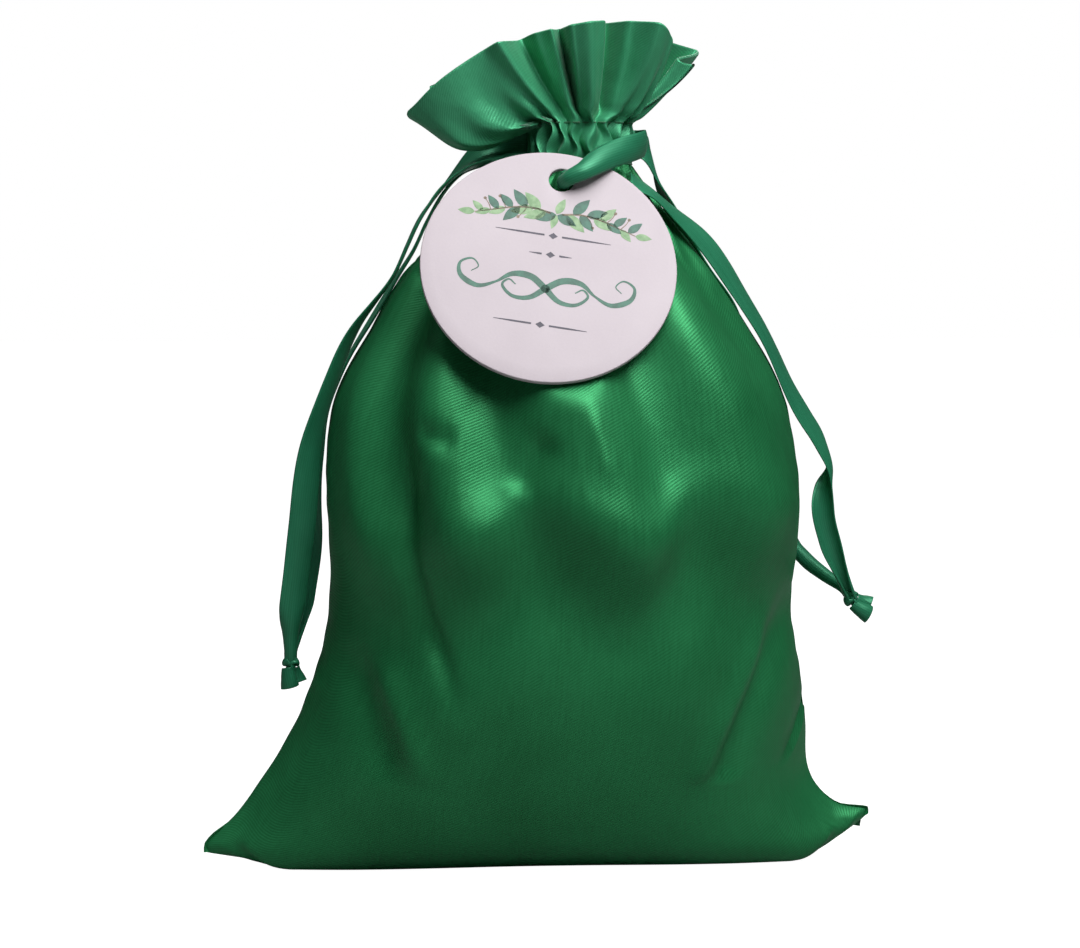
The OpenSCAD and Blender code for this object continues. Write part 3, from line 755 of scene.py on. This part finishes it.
# Creases: a line of (x, z) points, its depth and its half width.
FRONT_CREASES = (([(57, 64), (44, 37), (36, 17)], -2.8, 3.5),
                 ([(51, 60), (38, 34), (31, 17)], 1.5, 3.0),
                 ([(62, 40), (55, 22), (50, 10)], -1.2, 2.5),
                 ([(-44, 52), (-39, 38), (-33, 22)], -1.8, 4.0),
                 ([(-38, 50), (-33, 38), (-27, 22)], 1.4, 3.0),
                 ([(-31.5, 100), (-31, 74), (-28, 58), (-20, 38)], -1.7, 2.2),
                 ([(-1, 99), (-9, 86)], -1.7, 3.2),
                 ([(-28, 99), (-20, 96)], -1.2, 2.4),
                 ([(7, 104), (11.5, 88)], 0.5, 2.0))


def crease_weight(x, z, line, width):
    """How near each point is to a crease, from 0 to 1, easing out at its ends."""
    best = np.zeros_like(x)
    total = arc_length(np.array(line, float))
    for k in range(len(line) - 1):
        (x0, z0), (x1, z1) = line[k], line[k + 1]
        dx, dz = x1 - x0, z1 - z0
        size = math.hypot(dx, dz)
        t = np.clip(((x - x0) * dx + (z - z0) * dz) / size**2, 0, 1)
        off = np.hypot(x - x0 - t * dx, z - z0 - t * dz)
        place = (total[k] + t * size) / total[-1]
        ends = np.minimum(1, 4 * np.minimum(place + 0.02, 1.02 - place))
        best = np.maximum(best, np.exp(-(off / width) ** 2) * ends)
    return best


def sculpt(grid, side):
    x, z = grid[..., 0], grid[..., 2]
    normal = grid_normals(grid)
    cx, hw = station(z, 1), station(z, 2)
    angle = np.degrees(np.arcsin(np.clip((x - cx) / hw, -1, 1)))
    body = (row_s < HEM_LOW)[:, None] & (row_s > 45)[:, None]
    folds = through(BELLY_FOLDS if side < 0 else BACK_FOLDS, angle + 0.3 * (z - 80))
    weight = step(z, 60, 84) * (1 - 0.75 * step(z, 132, 150)) * body
    push = 2.2 * folds * weight
    if side < 0:
        middle = np.cos(np.radians(angle)) ** 1.5
        below = z - through(BELLY_EDGE, x)
        push = push + 2.6 * np.exp(-((below - 8) / 8) ** 2) * middle * body
        push = push - 3.4 * np.exp(-((below + 12) / 11) ** 2) * middle * body
        for line, depth, width in FRONT_CREASES:
            push = push + depth * crease_weight(x, z, line, width) * body
    # The side seams draw in and pucker.
    columns = np.arange(grid.shape[1])
    off = np.minimum(columns, grid.shape[1] - 1 - columns) * CUT_W / (grid.shape[1] - 1)
    seam = (row_s < HEM_LOW - 8)[:, None]
    wobble = np.sin(row_s / 1.7 + 1.4 * np.sin(row_s / 9)) + 0.9 * np.sin(row_s / 3.9 + 1)
    push = push - 0.45 * np.exp(-(off / 0.8) ** 2)[None] * seam
    push = push + 0.12 * wobble[:, None] * np.exp(-off / 4.5)[None] * step(off, 0, 1.6)[None] * seam
    return grid + normal * push[..., None]


PLEAT_R = 11.9  # where the casing's pleats are drawn out to, clear of the ribbons inside


def draw_neck(grid, side):
    """The casing's pleats made shallower and puffed over the ribbons behind them, and a slit
    at each side exit."""
    x, y, z = grid[..., 0] - NECK_X, grid[..., 1] - SEAM_Y, grid[..., 2]
    radius = np.hypot(x, y)
    s = row_s[:, None]
    near = step(s, HEM_LOW - 7, HEM_LOW) * (1 - step(s, HEM_HIGH, HEM_HIGH + 6))
    wanted = radius + 0.45 * np.maximum(0, PLEAT_R - radius) * near
    up = np.clip((s - HEM_LOW) / (HEM_HIGH - HEM_LOW), 0, 1)
    angle = np.arctan2(y, x)
    wanted = wanted + 0.7 * np.sin(np.pi * up) * (0.6 + 0.4 * np.sin(9 * angle + 1))
    angle = angle + (0.07 * np.sin(0.8 * s + 7 * angle) * near
                     * (1 - np.abs(np.cos(angle)) ** 8))
    x, y = wanted * np.cos(angle), wanted * np.sin(angle)
    slit = 1.5 * step(s, HEM_LOW + 0.8, HEM_LOW + 3) * (1 - step(s, HEM_HIGH - 3, HEM_HIGH - 0.8))
    gap = np.maximum(0, slit - np.abs(y)) * (radius < 14)
    y = y + side * gap
    return np.stack([x + NECK_X, y + SEAM_Y, z], axis=-1)


def open_header(grid, side):
    """The ruffle is slit at its right side, where the back's tip is tucked in behind the
    front, and its left lobe hangs over the casing."""
    t = np.clip((row_s - HEM_HIGH) / (CUT_L - HEM_HIGH), 0, 1)[:, None]
    share = np.linspace(0, 1, grid.shape[1])[None]
    grid = grid.copy()
    if side < 0:
        from_right = step(share, 0.62, 1.0) * t**0.8
        grid[..., 0] -= 11.5 * from_right
        grid[..., 1] -= 5.0 * from_right
        lobe = (1 - step(share, 0.12, 0.32)) * t / 0.3 * np.exp(1 - t / 0.3)
        grid[..., 0] -= 5.0 * lobe
        grid[..., 1] -= 4.0 * lobe
        grid[..., 2] -= 7.0 * lobe
    else:
        grid[..., 0] += 8.0 * step(share, 0.78, 1.0) * t
    return grid


def behind_tag(grid):
    """The cloth pressed back where the tag lies on it."""
    lean = math.radians(TAG_LEAN)
    facing = np.array([0, -math.cos(lean), math.sin(lean)])
    upward = np.array([0, math.sin(lean), math.cos(lean)])
    local = grid - TAG_MIDDLE
    ahead = local @ facing + TAG_T / 2 + 0.7
    off = np.hypot(local[..., 0], local @ upward)
    over = (np.sqrt(ahead**2 + 1) + ahead) / 2 * (1 - step(off, TAG_R - 1, TAG_R + 6))
    return grid - facing * over[..., None]


for side in (-1, 1):
    halves[side] = draw_neck(sculpt(halves[side], side), side)
halves[-1] = behind_tag(open_header(halves[-1], -1))
halves[1] = open_header(halves[1], 1)
normals = {side: grid_normals(halves[side]) for side in (-1, 1)}


def shell(name, outer, inner, out_n, in_n, uv, cap=0.0):
    """A closed sheet of cloth between two grids. Its last row is rounded over by cap."""
    rows, columns = outer.shape[:2]
    rim, rim_n = [], []
    if cap:
        centre = (outer[-1] + inner[-1]) / 2
        up = unit(outer[-1] - outer[-2])
        for a in (45, 90, 135):
            n = out_n[-1] * math.cos(math.radians(a)) + up * math.sin(math.radians(a))
            rim.append(centre + n * cap)
            rim_n.append(n)
    points = np.concatenate([outer, *[r[None] for r in rim], inner[::-1]])
    facing = np.concatenate([out_n, *[r[None] for r in rim_n], in_n[::-1]])
    uvs = np.concatenate([uv, *[uv[-1][None]] * len(rim), uv[::-1]])
    count = len(points)

    def at(k, c):
        return (k % count) * columns + c

    faces = [[at(k, c), at(k, c + 1), at(k + 1, c + 1), at(k + 1, c)]
             for k in range(count) for c in range(columns - 1)]
    for c, back in ((0, False), (columns - 1, True)):
        sides = [[at(k, c), at(k + 1, c), at(count - 2 - k, c), at(count - 1 - k, c)]
                 for k in range(rows - 1)]
        if rim:
            sides.append([at(rows - 1 + k, c) for k in range(len(rim) + 2)])
        faces += [f[::-1] for f in sides] if back else sides
    return make_mesh(name, points.reshape(-1, 3), faces, uvs.reshape(-1, 2),
                     facing.reshape(-1, 3))


def cloth_uv(columns, s):
    return uv_grid(np.linspace(0, CUT_W, columns), s)


PANEL_T, HEADER_T = 0.34, 0.8
LINING_R, LINING_T = 8.0, 0.3
LINING_Z = np.array([156.6, 158.4, 160.6, 162.8, 164.4])


def cloth_part(name, side, part, material):
    """Some rows of one side's cloth, as a thin closed sheet."""
    grid, n = halves[side][part], normals[side][part]
    obj = shell(name, grid, grid - n * PANEL_T, n, -n, cloth_uv(grid.shape[1], row_s[part]))
    return dress(obj, material)


def lining_grid(side, radius):
    """The casing's inner wall: its own soft pleats round the open mouth."""
    a = np.pi * np.linspace(0, 1, halves[side].shape[1]) - (np.pi if side < 0 else 0)
    around = (a + np.pi) / (2 * np.pi)
    pleats = np.interp(around % 1.0, np.append(AROUND, 1), np.append(gathering, gathering[0]))
    r = radius + 0.45 * pleats
    ring = np.stack([NECK_X + r * np.cos(a), SEAM_Y + r * np.sin(a)], axis=1)
    return np.array([np.column_stack([ring, np.full_like(a, z)]) for z in LINING_Z])


def header_ruffle(name, side):
    """The ruffle and, in one sheet with it, the lining turned down inside the mouth."""
    grid, n = halves[side][high_row:], normals[side][high_row:]
    wall, inner_wall = lining_grid(side, LINING_R), lining_grid(side, LINING_R - LINING_T)
    wall_n = grid_normals(wall)
    s = np.concatenate([2 * CUT_L - HEM_HIGH + (CASING_TOP - LINING_Z), row_s[high_row:]])
    outer, inner = np.concatenate([wall, grid]), np.concatenate([inner_wall, grid - n * HEADER_T])
    obj = shell(name, outer, inner, np.concatenate([wall_n, n]), np.concatenate([-wall_n, -n]),
                cloth_uv(grid.shape[1], s), cap=HEADER_T / 2)
    return dress(obj, header_satin_painted_light)


for side, word in ((-1, "front"), (1, "back")):
    panel = cloth_part(word + "_panel_cloth", side, slice(0, low_row + 1), sack_satin)
    casing = cloth_part(word + "_casing_pleats", side, slice(low_row, high_row + 1),
                        header_satin_painted_light)
    header = header_ruffle(word + "_header_ruffle", side)
    for piece, node in ((panel, "_panel"), (casing, "_casing"), (header, "_header")):
        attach(piece, "sack")
        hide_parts(word + node)


# ---- Seams, stitches and the ribbons inside the casing ----


ALLOWANCE_W, ALLOWANCE_T = 5.0, 0.7


def seam_allowance(name, node, edge, inward, wave):
    """A folded seam allowance inside the sack: a thin strip along an edge of the cloth."""
    along = unit(np.gradient(edge, axis=0))
    inward = unit(inward - along * (inward * along).sum(axis=1, keepdims=True))
    side = np.cross(along, inward)
    length = arc_length(edge)
    u = np.linspace(0.1, 1, 7)
    layers = []
    for lift in (ALLOWANCE_T / 2, -ALLOWANCE_T / 2):
        layers.append([edge + inward * (ALLOWANCE_W * k)
                       + side * (lift + wave * k * np.sin(length / 3.1 + k))[:, None] for k in u])
    rings = np.stack(layers[0] + layers[1][::-1], axis=1)
    obj = loft(name, rings, uv_grid(np.concatenate([u, u[::-1]]) * ALLOWANCE_W, length))
    dress(obj, seam_satin)
    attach(obj, "sack")
    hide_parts(node)


front = halves[-1]
for column, word, inwards in ((0, "left", 1.0), (-1, "right", -1.0)):
    seam_allowance(word + "_side_seam_allowance", word + "_side_seam",
                   front[3:low_row - 3, column], np.array([inwards, 0.0, 0.0]), 0.2)
seam_allowance("bottom_seam_allowance", "bottom_seam", front[0, 14:-14] + [0, 0, 0.3],
               np.array([0.0, 0.0, 1.0]), 0.15)


def stitch_row(name, node, row):
    """Running stitches along the pleats at one row of the cloth."""
    line = np.concatenate([halves[-1][row], halves[1][row][1:]])
    out = np.concatenate([normals[-1][row], normals[1][row][1:]])
    out = unit(out * [1, 1, 0.2])
    length = arc_length(line)
    long, gap, count = 2.3, 0.8, 7
    rings, uvs, faces = [], [], []
    b = full_turn(8)
    swell = np.sin(np.linspace(0, np.pi, count))
    for start in np.arange(0.4, length[-1] - long, long + gap):
        place = np.linspace(start, start + long, count)
        p = np.stack([np.interp(place, length, line[:, k]) for k in range(3)], axis=1)
        o = unit(np.stack([np.interp(place, length, out[:, k]) for k in range(3)], axis=1))
        radius = 0.05 + 0.15 * swell ** 0.4
        p = p + o * (0.2 * swell ** 0.5 - 0.08)[:, None]
        up = unit(np.cross(unit(np.gradient(p, axis=0)), o))
        ring = (p[:, None] + o[:, None] * (radius[:, None] * np.cos(b))[..., None]
                + up[:, None] * (radius[:, None] * np.sin(b))[..., None])
        faces += turned_over(tube_faces(count, len(b), offset=len(rings) * count * len(b)))
        rings.append(ring.reshape(-1, 3))
        uvs.append(uv_grid(b * 0.2, place).reshape(-1, 2))
    obj = dress(make_mesh(name, np.concatenate(rings), faces, np.concatenate(uvs)),
                thread)
    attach(obj, "sack")
    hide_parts(node)


stitch_row("upper_running_stitches", "upper_stitching", high_row)
stitch_row("lower_running_stitches", "lower_stitching", low_row)


LOOP_R, EXIT_R = 9.0, 11.2  # of a ribbon's turn inside the casing, and of its way out
EXIT_GAP = 0.85  # from the seam to each of a ribbon's two ends


def casing_loop(name, node, z, side):
    """A ribbon once round inside the casing, crumpled narrow, with its ends at one exit."""
    a = np.linspace(math.radians(7), math.radians(353), 140) + (math.pi if side < 0 else 0)
    radius = LOOP_R + 0.12 * np.sin(a * 13)
    ring = np.stack([NECK_X + radius * np.cos(a), SEAM_Y + radius * np.sin(a),
                     z + 0.15 * np.sin(a * 9)], axis=1)
    lead = np.array([NECK_X + side * EXIT_R, SEAM_Y, z])
    gap = [0, side * EXIT_GAP, 0]
    line = np.concatenate([[lead + gap], ring, [lead - gap]])
    line = between(line, np.linspace(0, len(line) - 1, 220))
    spread = np.tile([0.0, 0.0, 1.0], (len(line), 1))
    rings, uv = ribbon_rings(line, spread, np.full(len(line), SPREAD_W), thick=0.3, camber=0.05)
    # Its six millimetres of width are pleated into the height that it has there.
    middle = line[:, None]
    rings = middle + (rings - middle) * [1, 1, 0.52]
    obj = dress(loft(name, rings, uv), ribbon_satin)
    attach(obj, "sack")
    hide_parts(node)


casing_loop("left_casing_ribbon", "left_ribbon_loop", 158.7, -1)
casing_loop("right_casing_ribbon", "right_ribbon_loop", 162.3, 1)


# ---- Tag ----

hung = (Matrix.Translation(TAG_MIDDLE * MM)
        @ Matrix.Rotation(math.radians(90 - TAG_LEAN), 4, "X")
        @ Matrix.Rotation(math.radians(-TAG_ROLL), 4, "Z"))


def tag_disc():
    """A thick board disc with softened edges and a hole, as rings from the hole to the rim
    on its face, and back again behind."""
    a = full_turn(160)
    around = np.stack([np.cos(a), np.sin(a)], axis=1)
    middle = np.array([0, TAG_HOLE_UP])
    # Where a line from the hole's middle meets the rim.
    b = TAG_HOLE_UP * np.sin(a)
    far = -b + np.sqrt(b**2 - TAG_HOLE_UP**2 + TAG_R**2)
    hole = (around * TAG_HOLE_R + middle, around)
    rim = (around * far[:, None] + middle, -unit(around * far[:, None] + middle))
    soft, half = 0.22, TAG_T / 2
    turns = [math.radians(t) for t in (0, 30, 60, 90)]
    rings = []
    for face, (first, first_in), (last, last_in) in ((1, hole, rim), (-1, rim, hole)):
        for t in turns:
            rings.append((first + first_in * soft * (1 - math.cos(t)),
                          face * (half - soft + soft * math.sin(t))))
        for share in np.linspace(0, 1, 14)[1:-1]:
            rings.append(((first + first_in * soft) * (1 - share)
                          + (last + last_in * soft) * share, face * half))
        for t in turns[::-1]:
            rings.append((last + last_in * soft * (1 - math.cos(t)),
                          face * (half - soft + soft * math.sin(t))))
    points = np.concatenate([np.column_stack([flat, np.full_like(a, z)]) for flat, z in rings])
    faces = turned_over(tube_faces(len(rings), len(a), endless=True))
    return make_mesh("round_tag", points, faces, points[:, :2])


tag = dress(tag_disc(), board)
tag.matrix_world = hung
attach(tag, "tag")
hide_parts("gift_tag")

INK_Z = TAG_T / 2


def printed(name, shapes, material):
    """Flat shapes raised a hair above the tag's face, each a closed outline in its plane."""
    points, faces, offset = [], [], 0
    for outline in shapes:
        outline = np.asarray(outline, float)
        area = np.sum(outline[:, 0] * np.roll(outline[:, 1], -1)
                      - outline[:, 1] * np.roll(outline[:, 0], -1))
        outline = outline if area > 0 else outline[::-1]
        n = len(outline)
        for z in (INK_Z - 0.02, INK_Z + 0.03):
            points += [[x, y, z] for x, y in outline]
        faces.append([offset + j for j in range(n)][::-1])
        faces.append([offset + n + j for j in range(n)])
        faces += [[offset + j, offset + (j + 1) % n, offset + n + (j + 1) % n, offset + n + j]
                  for j in range(n)]
        offset += 2 * n
    obj = make_mesh(name, points, faces)
    obj.data.polygons.foreach_set("use_smooth", [False] * len(obj.data.polygons))
    dress(obj, material)
    obj.parent = tag


def stroke(line, widths, steps=6):
    """The outline of a pen stroke along a line of points, of changing width."""
    t = np.linspace(0, len(line) - 1, (len(line) - 1) * steps + 1)
    path = between(line, t)
    width = np.interp(t, np.linspace(0, len(line) - 1, len(widths)), widths) / 2
    along = unit(np.gradient(path, axis=0))
    side = np.stack([-along[:, 1], along[:, 0]], axis=1)
    return np.concatenate([path + side * width[:, None], (path - side * width[:, None])[::-1]])


def leaf(x, y, direction, long, wide):
    t = np.linspace(0, 1, 9)
    half = wide / 2 * np.sin(np.pi * t**0.8) ** 0.9
    a = math.radians(direction)
    along, side = np.array([math.cos(a), math.sin(a)]), np.array([-math.sin(a), math.cos(a)])
    upper = np.array([x, y]) + along * (t * long)[:, None] + side * half[:, None]
    lower = np.array([x, y]) + along * (t * long)[:, None] - side * half[:, None]
    return np.concatenate([upper, lower[::-1][1:-1]])


def dot(x, y, r):
    a = full_turn(12)
    return np.stack([x + r * np.cos(a), y + r * np.sin(a)], axis=1)


# A leafy twig of its own design, in two drooping halves that mirror each other loosely.
twigs, dark_leaves, light_leaves, berries = [], [], [], []
draws = np.random.RandomState(11)
for way in (-1, 1):
    stem = [(way * 1.2, 12.6), (way * 5, 13.2), (way * 9, 12.8), (way * 13, 11.6),
            (way * 17.4, 10.2)]
    twigs.append(stroke(stem, [0.5, 0.4, 0.2]))
    t = np.linspace(0.25, 4.0, 11)
    path = between(stem, t)
    for k, (x, y) in enumerate(path):
        up = 1 if k % 2 else -1
        lean = (34 + draws.uniform(-16, 20)) * up if k < 10 else draws.uniform(-9, 9)
        direction = lean if way > 0 else 180 - lean
        size = 5.6 - 0.22 * k + draws.uniform(-0.4, 0.4)
        target = dark_leaves if draws.uniform() < 0.45 else light_leaves
        target.append(leaf(x, y, direction, size, size * 0.46))
    for k in (3, 6, 8):
        x, y = path[k]
        up = -1 if k % 2 else 1
        tip = (x + way * 1.6, y + up * 2.6)
        twigs.append(stroke([(x, y), ((x + tip[0]) / 2 + 0.2, (y + tip[1]) / 2), tip],
                            [0.22, 0.18]))
        berries.append(dot(*tip, 0.36))
dark_leaves += [leaf(0, 12.4, 200, 5.0, 2.4), leaf(0.2, 12.4, -25, 4.8, 2.3)]
light_leaves += [leaf(0, 12.6, 70, 4.2, 1.9), leaf(0, 12.4, -100, 3.6, 1.6)]
printed("tag_twig_stems", twigs, twig_brown)
printed("tag_twig_dark_leaves", dark_leaves, leaf_dark)
printed("tag_twig_light_leaves", light_leaves, leaf_light)
printed("tag_twig_berries", berries, twig_brown)

# Plain ornament in place of words: two pairs of rules and a pen flourish between them.
rules = []
for y, half, weight in ((7.2, 12.5, 0.42), (2.6, 4.6, 0.42), (-14.2, 10.0, 0.42)):
    for way in (-1, 1):
        rules.append(stroke([(way * 1.9, y), (way * half * 0.6, y), (way * half, y)],
                            [weight, weight, 0.12]))
    rules.append(np.array([(-1.0, y), (0, y - 0.75), (1.0, y), (0, y + 0.75)]))
printed("tag_rules", rules, ink)
flourish = []
for way in (-1, 1):
    flourish.append(stroke(
        [(0, -5.6), (way * 3.4, -3.2), (way * 7.4, -3.2), (way * 10.6, -5.6),
         (way * 14.4, -7.2), (way * 18.2, -5.4), (way * 18.8, -2.4), (way * 16.4, -1.0),
         (way * 14.8, -2.6), (way * 16.2, -4.0)], [1.5, 1.5, 0.5, 1.3, 0.6, 0.3, 0.2]))
    flourish.append(stroke(
        [(0, -5.6), (way * 3.2, -8.2), (way * 6.8, -8.4), (way * 9.2, -6.2),
         (way * 8.0, -4.6), (way * 6.4, -5.6)], [1.4, 0.9, 0.5, 0.25]))
flourish.append(dot(0, -5.6, 1.0))
printed("tag_flourish", flourish, leaf_dark)


# ---- Floor and light ----

floor = square("floor", 3, 0)
pale = new_tree("pale_floor")
seen = pale.node("LightPath").outputs["Is Camera Ray"]
floor.data.materials.append(pale.finish(Base_Color=(0.3, 0.3, 0.3, 1), Roughness=0.95,
                                        Specular_IOR_Level=0.1,
                                        Emission_Color=(1, 1, 1, 1), Emission_Strength=seen))


def area_light(name, place, aim, size, power):
    data = bpy.data.lights.new(name, "AREA")
    data.shape = "RECTANGLE"
    data.size, data.size_y = size
    data.energy = power
    obj = link(name, data)
    obj.location = place
    obj.rotation_euler = (Vector(aim) - Vector(place)).to_track_quat("-Z", "Y").to_euler()


area_light("key", (0.16, -0.36, 0.58), (0.01, 0, 0.1), (0.34, 0.34), 4.4)
area_light("top", (0.03, -0.14, 0.75), (0, 0, 0.12), (0.26, 0.26), 1.6)
area_light("back", (0.05, 0.6, 0.5), (0, 0, 0.1), (0.4, 0.3), 1.2)

# A sky that is dark at the horizon, so that the folds keep their shade. The camera sees white.
SKY = ((0.0, 0.04), (0.48, 0.01), (0.56, 0.01), (0.72, 0.05), (1.0, 0.3))
world = bpy.data.worlds.new("studio")
bpy.context.scene.world = world
studio = Tree(world)
split = studio.node("SeparateXYZ", {0: studio.node("TexCoord").outputs["Generated"]})
height = studio.node("MapRange", {"Value": split.outputs["Z"], "From Min": -1}).outputs[0]
grey = studio.ramp(height, [(place, (value, value, value)) for place, value in SKY])
sky = studio.tree.nodes["Background"]
studio.tree.links.new(grey, sky.inputs["Color"])
white = studio.node("Background", {"Color": (1, 1, 1, 1)})
seen = studio.node("LightPath").outputs["Is Camera Ray"]
mixed = studio.node("MixShader", {0: seen, 1: sky.outputs[0], 2: white.outputs[0]})
surface = studio.tree.nodes["World Output"].inputs["Surface"]
studio.tree.links.new(mixed.outputs[0], surface)
